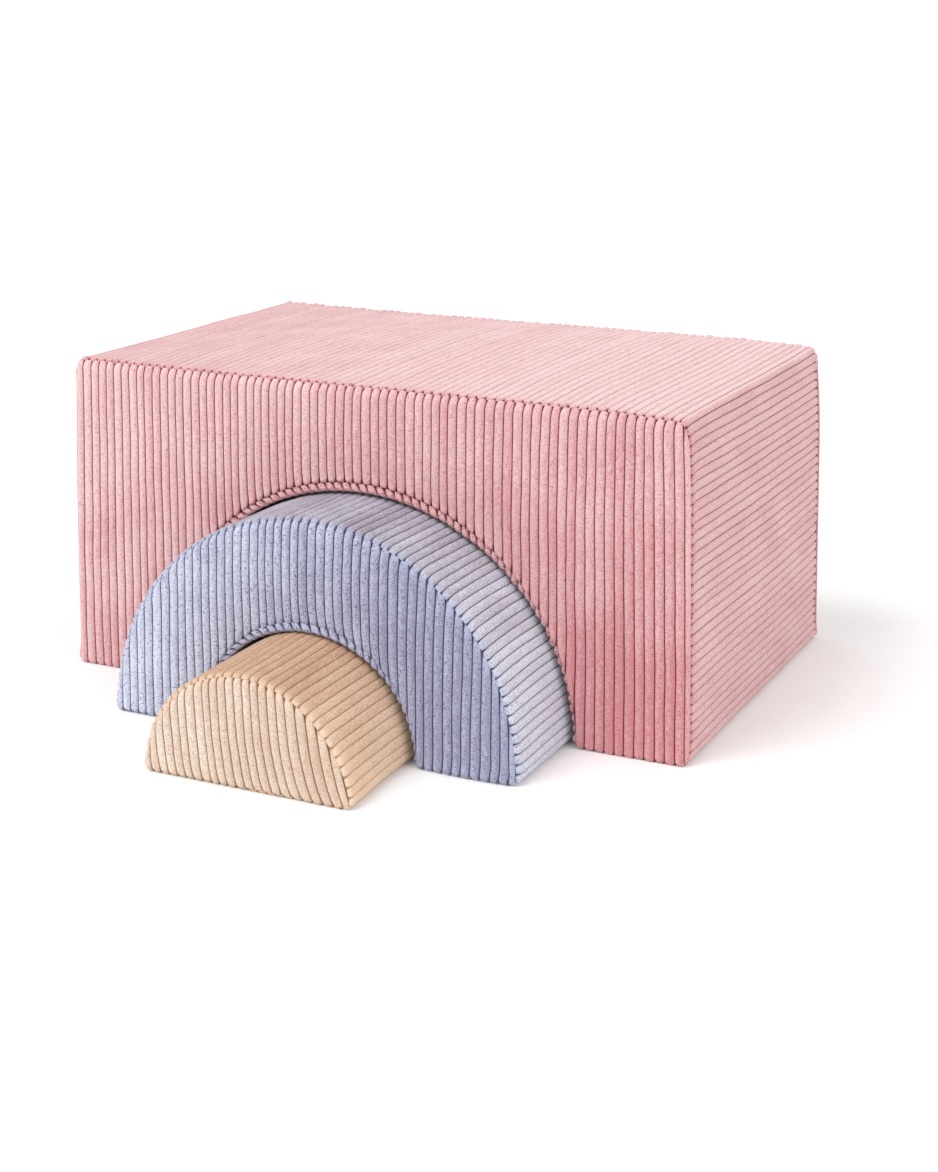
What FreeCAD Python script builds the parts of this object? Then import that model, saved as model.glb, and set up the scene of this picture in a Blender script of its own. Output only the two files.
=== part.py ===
import FreeCAD, Part

import math
import os
import re

import Sketcher
from FreeCAD import Placement, Rotation, Vector

# Nesting soft-play set: a rectangular foam block with a half-round tunnel, a half-ring arch that stands in
# the tunnel and a half-round that stands in the arch. Each has a foam core and a zipped corduroy cover.
#
# Frame: +X to the right, +Y away from the front, +Z up, millimetres. The origin is on the floor, at the
# middle of the set's footprint as it stands with the arch and the half-round pulled partly out to the front.

DIMENSIONS = {
    # the block and the tunnel through it
    "block_width": 750,
    "block_depth": 490,
    "block_height": 370,
    "corner_radius": 12,
    "tunnel_radius": 255,
    # the arch and the half-round, both as deep as the block
    "arch_outer_radius": 249,
    "arch_inner_radius": 129,
    "half_round_radius": 121,
    # how far their front faces stand in front of the block's
    "arch_pull": 117,
    "half_round_pull": 254,
    # thickness of the corduroy with its pile
    "cover": 5,
    # zips: the tapes lie against the inside of the cover, with the coil on their inner side
    "block_zip_length": 700,
    "foot_zip_length": 440,
    "block_zip_drop": 26,
    "slot_width": 14,
    "slot_end": 2,
    "channel_depth": 5,
    "tape_width": 16,
    "tape_thickness": 0.8,
    "tape_gap": 2,
    "coil_width": 2.4,
    "coil_thickness": 2.2,
    "closed_end": 6,
    "open_end": 30,
    "stop_length": 3,
    "stop_width": 8,
    "stop_thickness": 1.2,
    # zip slider
    "slider_length": 13,
    "slider_width": 10,
    "slider_rest_gap": 0.5,
    "plate_thickness": 1,
    "plate_clearance": 0.3,
    "bridge_width": 1.2,
    "bridge_front": 5.7,
    "bridge_length": 2.5,
    "ear_length": 2.4,
    "ear_thickness": 0.8,
    "ear_height": 2.2,
    "ear_gap": 3.2,
    "bail_depth": 2.2,
    "bail_radius": 0.5,
    # pull tab, hinged on the slider's bail
    "eye_radius": 1.2,
    "eye_bore_radius": 0.8,
    "eye_width": 2.6,
    "neck_start": 0.95,
    "blade_start": 1.8,
    "blade_end": 26,
    "blade_width": 6,
    "blade_thickness": 1,
    "blade_hole_radius": 1.2,
}

# places that follow from the dimensions
BLOCK_BACK = "(half_round_pull + block_depth) / 2"
ARCH_BACK = "(half_round_pull + block_depth) / 2 - arch_pull"
HALF_ROUND_BACK = "(block_depth - half_round_pull) / 2"
ARCH_FOOT_MIDDLE = "(arch_outer_radius + arch_inner_radius) / 2"
FOAM_DEPTH = "block_depth - 2 * cover"

doc = FreeCAD.newDocument("NestingBlocks")
sheet = doc.addObject("Spreadsheet::Sheet", "Dimensions")
for row, (alias, value) in enumerate(DIMENSIONS.items(), start=1):
    sheet.set(f"A{row}", alias.replace("_", " "))
    sheet.set(f"B{row}", str(value))
    sheet.setAlias(f"B{row}", alias)
doc.recompute()

pieces = []


def bind(target, **expressions):
    """Binds properties to the sheet. An expression names dimensions by their aliases."""
    for name, expression in expressions.items():
        cells = re.sub(r"[a-z][a-z_]{3,}", r"Dimensions.\g<0>", expression)
        target.setExpression(name.replace("__", "."), cells)


# ---- sketches ----


def new_piece(name):
    """An empty body: one sub-part of the set."""
    body = doc.addObject("PartDesign::Body", name)
    body.Label = name
    body.AllowCompound = True
    pieces.append(body)
    return body


def new_sketch(body, plane="XZ_Plane", offset="0"):
    """A sketch on one of the body's own origin planes, or parallel to it at an offset along its normal."""
    sketch = body.newObject("Sketcher::SketchObject", f"{body.Name}_sketch")
    support = next(f for f in body.Origin.OriginFeatures if f.Role == plane)
    sketch.AttachmentSupport = [(support, "")]
    sketch.MapMode = "FlatFace"
    bind(sketch, AttachmentOffset__Base__z=offset)
    return sketch


def constrain(sketch, name, constraint, expression):
    """Adds a dimensional constraint that follows the sheet."""
    index = sketch.addConstraint(constraint)
    sketch.renameConstraint(index, name)
    bind(sketch, **{f"Constraints__{name}": expression})


def rectangle(sketch, left, right, bottom, top):
    """A rectangle, its sides given by their places along the sketch's axes."""
    base = sketch.GeometryCount
    corners = [Vector(-1, 1, 0), Vector(1, 1, 0), Vector(1, 2, 0), Vector(-1, 2, 0)]
    for start, end in zip(corners, corners[1:] + corners[:1]):
        sketch.addGeometry(Part.LineSegment(start, end))
    for side in range(4):
        following = base + (side + 1) % 4
        direction = "Vertical" if side % 2 else "Horizontal"
        sketch.addConstraint(Sketcher.Constraint(direction, base + side))
        sketch.addConstraint(Sketcher.Constraint("Coincident", base + side, 2, following, 1))
    places = (
        ("left", "DistanceX", base, 1, left),
        ("bottom", "DistanceY", base, 1, bottom),
        ("right", "DistanceX", base + 2, 1, right),
        ("top", "DistanceY", base + 2, 1, top),
    )
    for name, kind, line, end, place in places:
        constraint = Sketcher.Constraint(kind, -1, 1, line, end, 1)
        constrain(sketch, f"{name}{base}", constraint, place)


def centred_rectangle(sketch, width, bottom, top):
    rectangle(sketch, f"-({width}) / 2", f"({width}) / 2", bottom, top)


def circle(sketch, radius, across="0", up="0"):
    index = sketch.addGeometry(Part.Circle(Vector(0, 0, 0), Vector(0, 0, 1), 1))
    constrain(sketch, f"radius{index}", Sketcher.Constraint("Radius", index, 1), radius)
    constrain(sketch, f"across{index}", Sketcher.Constraint("DistanceX", -1, 1, index, 3, 1), across)
    constrain(sketch, f"up{index}", Sketcher.Constraint("DistanceY", -1, 1, index, 3, 1), up)


def half_circle(sketch, radius):
    """The upper half of a circle about the sketch's origin, its two ends on the horizontal axis."""
    whole = Part.Circle(Vector(0, 0, 0), Vector(0, 0, 1), 100)
    index = sketch.addGeometry(Part.ArcOfCircle(whole, 0, math.pi))
    sketch.addConstraint(Sketcher.Constraint("Coincident", index, 3, -1, 1))
    sketch.addConstraint(Sketcher.Constraint("PointOnObject", index, 1, -1))
    sketch.addConstraint(Sketcher.Constraint("PointOnObject", index, 2, -1))
    constrain(sketch, f"radius{index}", Sketcher.Constraint("Radius", index, 100), radius)
    return index


def join(sketch, first, first_end, second, second_end):
    """A straight line between the ends of two arcs."""
    points = sketch.getPoint(first, first_end), sketch.getPoint(second, second_end)
    line = sketch.addGeometry(Part.LineSegment(*points))
    sketch.addConstraint(Sketcher.Constraint("Coincident", line, 1, first, first_end))
    sketch.addConstraint(Sketcher.Constraint("Coincident", line, 2, second, second_end))


def half_disc(sketch, radius):
    arc = half_circle(sketch, radius)
    join(sketch, arc, 1, arc, 2)


def half_ring(sketch, outer, inner):
    outside = half_circle(sketch, outer)
    inside = half_circle(sketch, inner)
    doc.recompute()
    join(sketch, outside, 1, inside, 1)
    join(sketch, outside, 2, inside, 2)


# ---- features ----


def pad(body, sketch, length, both_ways=False):
    """Thickens a sketch along its plane's normal: -Y from XZ_Plane and +Z from XY_Plane."""
    feature = body.newObject("PartDesign::Pad", f"{body.Name}_pad")
    feature.Profile = sketch
    feature.Midplane = both_ways
    bind(feature, Length=length)
    doc.recompute()


def pocket(body, sketch, depth=None):
    """Cuts a sketch out of the body along its plane's normal, right through if no depth is given."""
    before = body.Shape.Volume
    feature = body.newObject("PartDesign::Pocket", f"{body.Name}_pocket")
    feature.Profile = sketch
    feature.Reversed = True
    if depth:
        bind(feature, Length=depth)
    else:
        feature.Type = "ThroughAll"
    doc.recompute()
    if body.Shape.Volume > before - 1:
        raise ValueError(f"{body.Label}: a pocket cuts nothing")


def round_edges(body, radius, half_width, height):
    """Rounds the two edges that run front to back at that half width and height."""
    sharp = body.Tip
    names = []
    for number, edge in enumerate(body.Shape.Edges, start=1):
        middle = edge.CenterOfMass
        along = edge.BoundBox.YLength > 0.99 * body.Shape.BoundBox.YLength
        if along and abs(abs(middle.x) - half_width) < 0.01 and abs(middle.z - height) < 0.01:
            names.append(f"Edge{number}")
    if len(names) != 2:
        raise ValueError(f"{body.Label}: {len(names)} edges to round, not 2")
    feature = body.newObject("PartDesign::Fillet", f"{body.Name}_rounding")
    feature.Base = (sharp, names)
    bind(feature, Radius=radius)
    doc.recompute()


def stand(body, back):
    """Moves a body so that what was drawn on its XZ plane has its back face at that place."""
    bind(body, Placement__Base__y=back)


# ---- the rose block with its tunnel ----


def block_solid(name, depth, inset="0"):
    """The block's outline with its rounded upper corners, smaller all round by the inset."""
    body = new_piece(name)
    outline = new_sketch(body)
    centred_rectangle(outline, f"block_width - 2 * {inset}", inset, f"block_height - {inset}")
    pad(body, outline, depth)
    step = DIMENSIONS[inset] if inset in DIMENSIONS else 0
    half_width = DIMENSIONS["block_width"] / 2 - step
    height = DIMENSIONS["block_height"] - step
    round_edges(body, f"corner_radius - {inset}", half_width, height)
    return body


def cut_tunnel(body, radius):
    tunnel = new_sketch(body)
    circle(tunnel, radius)
    pocket(body, tunnel)


def block_zip_rows(half_height):
    """Lower and upper edge of a strip along the block's zip."""
    middle = "block_height - block_zip_drop"
    return f"{middle} - {half_height}", f"{middle} + {half_height}"


def make_block_foam_core():
    body = block_solid("block_foam_core", FOAM_DEPTH, "cover")
    cut_tunnel(body, "tunnel_radius + cover")
    recess = new_sketch(body)
    centred_rectangle(recess, "block_zip_length", *block_zip_rows("(tape_width + tape_gap / 2)"))
    pocket(body, recess, "tape_thickness")
    channel = new_sketch(body)
    centred_rectangle(channel, "block_zip_length - 2 * slot_end", *block_zip_rows("slot_width / 2"))
    pocket(body, channel, "channel_depth")
    stand(body, f"{BLOCK_BACK} - cover")


def make_block_panel(name, back, has_zip):
    """The front or back panel: the whole outline with the tunnel's half circle cut out."""
    body = block_solid(name, "cover")
    cut_tunnel(body, "tunnel_radius")
    if has_zip:
        slot = new_sketch(body)
        centred_rectangle(slot, "block_zip_length - 2 * slot_end", *block_zip_rows("slot_width / 2"))
        pocket(body, slot)
    stand(body, back)


def make_block_outer_band():
    """One strip over the left side, the top and the right side."""
    body = block_solid("block_outer_band", FOAM_DEPTH)
    inside = new_sketch(body)
    centred_rectangle(inside, "block_width - 2 * cover", "-cover", "block_height - cover")
    pocket(body, inside)
    half_width = DIMENSIONS["block_width"] / 2 - DIMENSIONS["cover"]
    height = DIMENSIONS["block_height"] - DIMENSIONS["cover"]
    round_edges(body, "corner_radius - cover", half_width, height)
    stand(body, f"{BLOCK_BACK} - cover")


# ---- half rings: the tunnel's lining, the arch and the half-round ----


def make_half_ring(name, outer, inner, depth, back):
    body = new_piece(name)
    outline = new_sketch(body)
    half_ring(outline, outer, inner)
    pad(body, outline, depth)
    stand(body, back)
    return body


def make_half_disc(name, radius, depth, back):
    body = new_piece(name)
    outline = new_sketch(body)
    half_disc(outline, radius)
    pad(body, outline, depth)
    stand(body, back)
    return body


def trim_underside(body, width):
    """Leaves room under a foam core for the fabric that it stands on."""
    strip = new_sketch(body)
    centred_rectangle(strip, width, "-cover", "cover")
    pocket(body, strip)


def cut_foot_slot(body, middle, length, half_width, depth):
    """A straight cut along the zip in an underside, from the floor up."""
    slot = new_sketch(body, "XY_Plane")
    near = f"-({FOAM_DEPTH}) / 2 - ({length}) / 2"
    far = f"-({FOAM_DEPTH}) / 2 + ({length}) / 2"
    rectangle(slot, f"{middle} - {half_width}", f"{middle} + {half_width}", near, far)
    pocket(body, slot, depth)


def cut_foot_channel(body, middle):
    """Room in a foam core for the tapes, the coil and the slider of a zip in the underside."""
    cut_foot_slot(body, middle, "foot_zip_length", "(tape_width + tape_gap / 2)", "cover + tape_thickness")
    cut_foot_slot(
        body, middle, "foot_zip_length - 2 * slot_end", "slot_width / 2", "cover + channel_depth"
    )


def make_foot_panel(name, left, right, back, zip_middle=None):
    """The fabric under a foot. The one with the zip has a slot over it."""
    body = new_piece(name)
    outline = new_sketch(body, "XY_Plane")
    rectangle(outline, left, right, f"-({FOAM_DEPTH})", "0")
    pad(body, outline, "cover")
    if zip_middle:
        length = "foot_zip_length - 2 * slot_end"
        cut_foot_slot(body, zip_middle, length, "slot_width / 2", "2 * cover")
    stand(body, back)


def make_arch():
    inside = f"{ARCH_BACK} - cover"
    core = make_half_ring(
        "arch_foam_core", "arch_outer_radius - cover", "arch_inner_radius + cover", FOAM_DEPTH, inside
    )
    trim_underside(core, "2 * arch_outer_radius")
    cut_foot_channel(core, ARCH_FOOT_MIDDLE)
    make_half_ring("arch_back_panel", "arch_outer_radius", "arch_inner_radius", "cover", ARCH_BACK)
    front = f"{ARCH_BACK} - block_depth + cover"
    make_half_ring("arch_front_panel", "arch_outer_radius", "arch_inner_radius", "cover", front)
    make_half_ring(
        "arch_outer_band", "arch_outer_radius", "arch_outer_radius - cover", FOAM_DEPTH, inside
    )
    make_half_ring(
        "arch_inner_band", "arch_inner_radius + cover", "arch_inner_radius", FOAM_DEPTH, inside
    )
    near = "(arch_inner_radius + cover)"
    # the outer band leans in by less than this over the panel's thickness
    far = "(arch_outer_radius - cover - 0.1)"
    make_foot_panel("arch_left_foot_panel", f"-{far}", f"-{near}", inside)
    make_foot_panel("arch_right_foot_panel", near, far, inside, ARCH_FOOT_MIDDLE)


def make_half_round():
    inside = f"{HALF_ROUND_BACK} - cover"
    core = make_half_disc("half_round_foam_core", "half_round_radius - cover", FOAM_DEPTH, inside)
    trim_underside(core, "2 * half_round_radius")
    cut_foot_channel(core, "0")
    make_half_disc("half_round_back_panel", "half_round_radius", "cover", HALF_ROUND_BACK)
    front = f"{HALF_ROUND_BACK} - block_depth + cover"
    make_half_disc("half_round_front_panel", "half_round_radius", "cover", front)
    make_half_ring(
        "half_round_curved_band", "half_round_radius", "half_round_radius - cover", FOAM_DEPTH, inside
    )
    # the curved band leans in by less than this over the panel's thickness
    edge = "(half_round_radius - cover - 0.2)"
    make_foot_panel("half_round_base_panel", f"-{edge}", edge, inside, "0")


def make_block():
    make_block_foam_core()
    make_block_panel("block_front_panel", f"{BLOCK_BACK} - block_depth + cover", has_zip=False)
    make_block_panel("block_back_panel", BLOCK_BACK, has_zip=True)
    make_block_outer_band()
    inside = f"{BLOCK_BACK} - cover"
    make_half_ring("block_tunnel_band", "tunnel_radius + cover", "tunnel_radius", FOAM_DEPTH, inside)
    near = "(tunnel_radius + cover)"
    far = "(block_width / 2 - cover)"
    make_foot_panel("block_left_foot_panel", f"-{far}", f"-{near}", inside)
    make_foot_panel("block_right_foot_panel", near, far, inside)


# ---- zips ----
# Each zip is drawn in a frame of its own: X along it towards its closed end, Y across it, and Z out of the
# cover, with Z = 0 on the cover's outer face.

TAPE_FACE = "-cover"
COIL_FACE = "-cover - tape_thickness"
INNER_PLATE = "-cover - tape_thickness - coil_thickness - plate_clearance - plate_thickness"
OUTER_PLATE = "-cover + plate_clearance"
CLOSED = "zip_length / 2 - closed_end"
OPEN = "-(zip_length / 2 - open_end)"
SLIDER_REST = "zip_length / 2 - closed_end - slider_length / 2 - slider_rest_gap"


def make_slab(name, left, right, bottom, top, low, thickness):
    """A flat piece, drawn on the XY plane and lifted to its place along Z."""
    body = new_piece(name)
    outline = new_sketch(body, "XY_Plane", low)
    rectangle(outline, left, right, bottom, top)
    pad(body, outline, thickness)
    return body


def make_slider(name):
    """Two plates above and below the coil, the bridge between them, and the bail that holds the tab."""
    body = new_piece(name)
    half = "slider_length / 2"
    inner = new_sketch(body, "XY_Plane", INNER_PLATE)
    rectangle(inner, f"-{half}", half, "-slider_width / 2", "slider_width / 2")
    pad(body, inner, "plate_thickness")
    bridge = new_sketch(body, "XY_Plane", INNER_PLATE)
    rectangle(bridge, "bridge_front - bridge_length", "bridge_front", "-bridge_width / 2", "bridge_width / 2")
    pad(body, bridge, f"{OUTER_PLATE} - ({INNER_PLATE})")
    outer = new_sketch(body, "XY_Plane", OUTER_PLATE)
    rectangle(outer, f"-{half}", half, "-slider_width / 2", "slider_width / 2")
    pad(body, outer, "plate_thickness")
    ears = new_sketch(body, "XY_Plane", f"{OUTER_PLATE} + plate_thickness")
    near = "ear_gap / 2"
    far = "(ear_gap / 2 + ear_thickness)"
    rectangle(ears, "-ear_length / 2", "ear_length / 2", near, far)
    rectangle(ears, "-ear_length / 2", "ear_length / 2", f"-{far}", f"-{near}")
    pad(body, ears, "ear_height")
    bail = new_sketch(body)
    circle(bail, "bail_radius", "0", "-bail_depth")
    pad(body, bail, "ear_gap + ear_thickness", both_ways=True)
    return body


def make_pull_tab(name):
    """A flat blade behind an eye that turns on the slider's bail."""
    body = new_piece(name)
    eye = new_sketch(body)
    circle(eye, "eye_radius", "0", "-bail_depth")
    circle(eye, "eye_bore_radius", "0", "-bail_depth")
    pad(body, eye, "eye_width", both_ways=True)
    low = "-bail_depth - blade_thickness / 2"
    neck = new_sketch(body, "XY_Plane", low)
    rectangle(neck, "-(blade_start + neck_start)", "-neck_start", "-eye_width / 2", "eye_width / 2")
    pad(body, neck, "blade_thickness")
    blade = new_sketch(body, "XY_Plane", low)
    rectangle(blade, "-blade_end", "-blade_start", "-blade_width / 2", "blade_width / 2")
    pad(body, blade, "blade_thickness")
    hole = new_sketch(body, "XY_Plane", low)
    circle(hole, "blade_hole_radius", "-blade_end + blade_width / 2", "0")
    pocket(body, hole, "blade_thickness")
    return body


def make_zip(owner, zip_length, turn, x="0", y="0", z="0"):
    """A zip's seven pieces, in place. turn takes the zip's own axes to the set's."""
    slider_place = SLIDER_REST.replace("zip_length", zip_length)
    still, moving = [], []
    half = f"{zip_length} / 2"
    closed = CLOSED.replace("zip_length", zip_length)
    opened = OPEN.replace("zip_length", zip_length)
    for side, sign in (("left", 1), ("right", -1)):
        near = "tape_gap / 2"
        tape_edge = "(tape_gap / 2 + tape_width)"
        coil_edge = "(tape_gap / 2 + coil_width)"
        tape = (near, tape_edge) if sign > 0 else (f"-{tape_edge}", f"-{near}")
        coil = (near, coil_edge) if sign > 0 else (f"-{coil_edge}", f"-{near}")
        name = f"{owner}_zip_{side}"
        still.append(make_slab(f"{name}_tape", f"-{half}", half, *tape, COIL_FACE, "tape_thickness"))
        coil_low = f"{COIL_FACE} - coil_thickness"
        still.append(make_slab(f"{name}_coil", opened, closed, *coil, coil_low, "coil_thickness"))
    stops = new_piece(f"{owner}_zip_end_stops")
    outlines = new_sketch(stops, "XY_Plane", TAPE_FACE)
    rectangle(outlines, closed, f"{closed} + stop_length", "-stop_width / 2", "stop_width / 2")
    rectangle(outlines, f"{opened} - stop_length", opened, "-stop_width / 2", "stop_width / 2")
    pad(stops, outlines, "stop_thickness")
    still.append(stops)
    moving.append(make_slider(f"{owner}_zip_slider"))
    moving.append(make_pull_tab(f"{owner}_zip_pull_tab"))
    along = turn.multVec(Vector(1, 0, 0))
    for body in still + moving:
        body.Placement = Placement(Vector(0, 0, 0), turn)
        shift = f" + ({slider_place})" if body in moving else ""
        x_place = x + (shift if along.x > 0.5 else "")
        y_place = y + (shift if along.y > 0.5 else "")
        bind(body, Placement__Base__x=x_place, Placement__Base__y=y_place, Placement__Base__z=z)


def make_zips():
    # on the block's back, near the top: along X, facing +Y
    facing_back = Rotation(Vector(1, 0, 0), Vector(0, 0, -1), Vector(0, 1, 0), "ZXY")
    make_zip("block", "block_zip_length", facing_back, y=BLOCK_BACK, z="block_height - block_zip_drop")
    # in an underside: along Y, facing the floor
    facing_down = Rotation(Vector(0, 1, 0), Vector(1, 0, 0), Vector(0, 0, -1), "ZXY")
    arch_middle = f"{ARCH_BACK} - block_depth / 2"
    make_zip("arch", "foot_zip_length", facing_down, x=ARCH_FOOT_MIDDLE, y=arch_middle)
    half_round_middle = f"{HALF_ROUND_BACK} - block_depth / 2"
    make_zip("half_round", "foot_zip_length", facing_down, y=half_round_middle)


def check_pieces():
    for item in doc.Objects:
        faults = {"Invalid", "Error"} & set(item.State)
        if faults:
            raise ValueError(f"{item.Label}: {sorted(faults)}")
    for body in pieces:
        if body.Shape.isNull() or not body.Shape.isValid() or not body.Shape.Solids:
            raise ValueError(f"{body.Label} has no valid solid")


make_block()
make_arch()
make_half_round()
make_zips()
doc.recompute()
check_pieces()

os.makedirs("parts", exist_ok=True)
for body in pieces:
    body.Shape.exportStep(f"parts/{body.Label}.step")
    box = body.Shape.BoundBox
    print(
        f"{body.Label}: {len(body.Shape.Solids)} solid(s),"
        f" x {box.XMin:.1f} to {box.XMax:.1f}, y {box.YMin:.1f} to {box.YMax:.1f},"
        f" z {box.ZMin:.1f} to {box.ZMax:.1f}, {body.Shape.Volume / 1000:.3f} cm3"
    )
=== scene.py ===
import math

import bmesh
import bpy
import numpy as np
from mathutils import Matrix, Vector
from mathutils.kdtree import KDTree


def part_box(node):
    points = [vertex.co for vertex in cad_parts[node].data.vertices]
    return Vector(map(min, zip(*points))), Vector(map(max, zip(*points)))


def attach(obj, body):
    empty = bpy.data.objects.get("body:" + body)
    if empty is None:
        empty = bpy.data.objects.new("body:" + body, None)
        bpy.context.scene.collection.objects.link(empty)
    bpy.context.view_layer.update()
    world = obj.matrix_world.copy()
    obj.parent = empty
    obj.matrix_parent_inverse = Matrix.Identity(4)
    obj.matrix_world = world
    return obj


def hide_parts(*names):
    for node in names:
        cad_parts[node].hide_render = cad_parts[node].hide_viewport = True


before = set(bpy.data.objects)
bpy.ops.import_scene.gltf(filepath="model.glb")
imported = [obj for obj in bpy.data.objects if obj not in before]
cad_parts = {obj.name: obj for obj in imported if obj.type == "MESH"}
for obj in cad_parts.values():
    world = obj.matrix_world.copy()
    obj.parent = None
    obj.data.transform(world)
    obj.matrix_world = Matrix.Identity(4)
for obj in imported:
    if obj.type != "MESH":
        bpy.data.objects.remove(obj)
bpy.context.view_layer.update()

# The nesting soft-play set: a rose block with a tunnel, a periwinkle arch in the tunnel and a sand half-round
# in the arch. Every cover is wide-wale corduroy, one mesh for each panel that is cut and sewn. A panel is
# made flat, as a grid across and along its wales, and is then rolled over the piece's edges to the seams.

MM = 0.001

# ---- sizes, from the frame ----

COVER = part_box("block_front_panel")[1].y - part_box("block_front_panel")[0].y
HALF_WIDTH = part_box("block_outer_band")[1].x
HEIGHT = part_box("block_outer_band")[1].z
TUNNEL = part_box("block_tunnel_band")[1].x - COVER
ARCH_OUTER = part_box("arch_outer_band")[1].x
ARCH_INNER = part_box("arch_inner_band")[1].x - COVER
HALF_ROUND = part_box("half_round_curved_band")[1].x

# ---- sizes of the corduroy and of the sewing ----

WALE = 10.5 * MM  # from groove to groove
GROOVE_DEPTH = 3.2 * MM
BOLDER = 2.0  # how much deeper grooves are on a tunnel's edge and in pits
ROLL = 12 * MM  # radius of the foam's edge under the cover
INNER_ROLL = 7 * MM  # the same round a tunnel
LIP = 5 * MM  # how far a tunnel's edge stands in
ALLOWANCE = 4 * MM  # cloth turned in at a seam
CORNER = 13 * MM  # radius of the block's upper corners, seen from the front
FLOOR_ROLL = 6 * MM  # the same on the floor
FOOT_CORNER = 9 * MM  # radius of the corners on the floor
SEAM_ROUND = 3.2 * MM  # length over which a wale's end rounds down to a seam
SEAM_PIT = 0.8 * MM  # the same for a groove, which ends in a pit
PUCKER = 1.6 * MM  # how far some wales stand up at their ends
UNDER = 3 * MM  # how far a band reaches under a foot
STRAY = 0.3 * MM  # how far a wale strays sideways by itself
STRAY_LENGTH = 110 * MM  # and over what length
DRIFT = 1.3 * MM  # how far it strays together with its neighbours
DRIFT_LENGTH = 380 * MM
HELD_STRAIGHT = 16 * MM  # the stretch over which a seam holds a wale straight
KNUCKLE = 6 * MM  # width of the row of knuckles on a tunnel's edge
SLOT_HALF = 7 * MM  # half the width of the opening over a zip
SLOT_END = 2 * MM  # how far the opening stops short of the tapes' ends

# where a seam lies on the rolled edge: 0 is on the front face and pi / 2 or more on the band
TOP_SEAM = math.radians(68)
SIDE_SEAM = math.radians(100)
ARCH_SEAM = math.radians(46)
CROWN_SEAM = math.radians(6)
BESIDE_SEAM = math.radians(44)
# depth of a seam below the pile
BLOCK_SEAM_DEPTH = 2.8 * MM
ROUND_SEAM_DEPTH = 1.4 * MM

# samples across a wale, as shares of its width, closest at the groove
ACROSS = np.array([0, 0.035, 0.08, 0.15, 0.27, 0.5, 0.73, 0.85, 0.92, 0.965])
# distances of the closest rows from a seam
ROWS_AT_SEAM = np.array([0, 0, 0.4, 1.0, 1.8, 2.8, 4.0, 5.5, 7.5, 10, 13, 17]) * MM
ROW_STEP = 7 * MM

# ---- sizes of the simulation ----

VOXEL = 10 * MM
CELL = 24 * MM  # of the grid that carries the swelling to the covers
HELD_HEIGHT = 12 * MM  # the foam is held still this near the floor
HELD_DEPTH = 14 * MM  # and this near the walls that slide past each other


# ---- outlines, as distances inside the shape seen from the front ----


def rounded(first, second, corner):
    """Distance inside the overlap of two regions, the corner between them rounded."""
    outside = np.hypot(np.maximum(corner - first, 0), np.maximum(corner - second, 0))
    return np.maximum(corner, np.minimum(first, second)) - outside


def block_inside(x, z):
    shell = rounded(HALF_WIDTH - np.abs(x), HEIGHT - z, CORNER)
    shell = rounded(shell, z, FOOT_CORNER)
    return rounded(shell, np.hypot(x, z) - TUNNEL, FOOT_CORNER)


def arch_inside(x, z):
    ring = np.minimum(ARCH_OUTER - np.hypot(x, z), np.hypot(x, z) - ARCH_INNER)
    return rounded(ring, z, FOOT_CORNER)


def half_round_inside(x, z):
    return rounded(HALF_ROUND - np.hypot(x, z), z, FOOT_CORNER)


class Shape:
    """A piece seen from the front: its outline and how its cover is sewn over the edges."""

    def __init__(self, owner, inside, seam, depth, pits, uneven, tunnel_within=0.0):
        """depth is the seam's, pits how much deeper grooves end there, uneven how far wales' ends differ."""
        self.owner = owner
        self.inside = inside
        self.seam = seam
        self.depth = depth
        self.pits = pits
        self.uneven = uneven
        self.tunnel_within = tunnel_within

    def edge(self, x, z):
        """The edge's radius and the seam's place on it, at points of the outline."""
        reach = np.maximum(np.hypot(x, z), MM)
        above = np.clip(z / FOOT_CORNER, 0, 1)
        tunnel = (reach < self.tunnel_within) * above**2 * (3 - 2 * above)
        beside = BESIDE_SEAM + (CROWN_SEAM - BESIDE_SEAM) * (z / reach) ** 2
        radius = ROLL + (INNER_ROLL - ROLL) * tunnel
        near_floor = np.clip(1 - z / (3 * FOOT_CORNER), 0, 1)
        on_top = np.clip((z - HEIGHT) / CORNER + 2, 0, 1)
        seam = self.seam + (TOP_SEAM - self.seam) * on_top
        return radius + (FLOOR_ROLL - radius) * near_floor, seam + (beside - seam) * tunnel

    def at(self, x, z):
        """Distance inside, outward direction, and the nearest edge's radius and seam."""
        step = 0.05 * MM
        distance = self.inside(x, z)
        across = (self.inside(x - step, z) - self.inside(x + step, z)) / (2 * step)
        up = (self.inside(x, z - step) - self.inside(x, z + step)) / (2 * step)
        steep = np.maximum(np.hypot(across, up), 1e-6)
        across, up = across / steep, up / steep
        radius, seam = self.edge(x + across * distance, z + up * distance)
        return distance, across, up, radius, seam

    def cloth(self, x, z):
        """Distance inside the seam, on the cloth laid flat."""
        distance, _, _, radius, seam = self.at(x, z)
        return distance - radius * (1 - seam)


BLOCK = Shape("block", block_inside, SIDE_SEAM, BLOCK_SEAM_DEPTH, 1.0, 1 * MM, (TUNNEL + HALF_WIDTH) / 2)
ARCH = Shape("arch", arch_inside, ARCH_SEAM, ROUND_SEAM_DEPTH, 0.5, 2.5 * MM, (ARCH_INNER + ARCH_OUTER) / 2)
HALF_ROUND_SHAPE = Shape("half_round", half_round_inside, ARCH_SEAM, ROUND_SEAM_DEPTH, 0.4, 1.5 * MM)


# ---- noise that is the same each run ----


def waves(seed, points, length, count=9):
    """Smooth noise between about -1 and 1: plane waves of about that length in seeded directions."""
    rng = np.random.default_rng(seed)
    total = np.zeros(points.shape[:-1])
    for _ in range(count):
        direction = rng.normal(size=points.shape[-1])
        direction *= 2 * math.pi / (length * rng.uniform(0.7, 1.5) * np.linalg.norm(direction))
        total += np.sin(points @ direction + rng.uniform(0, 2 * math.pi))
    return total / math.sqrt(count)


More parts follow.
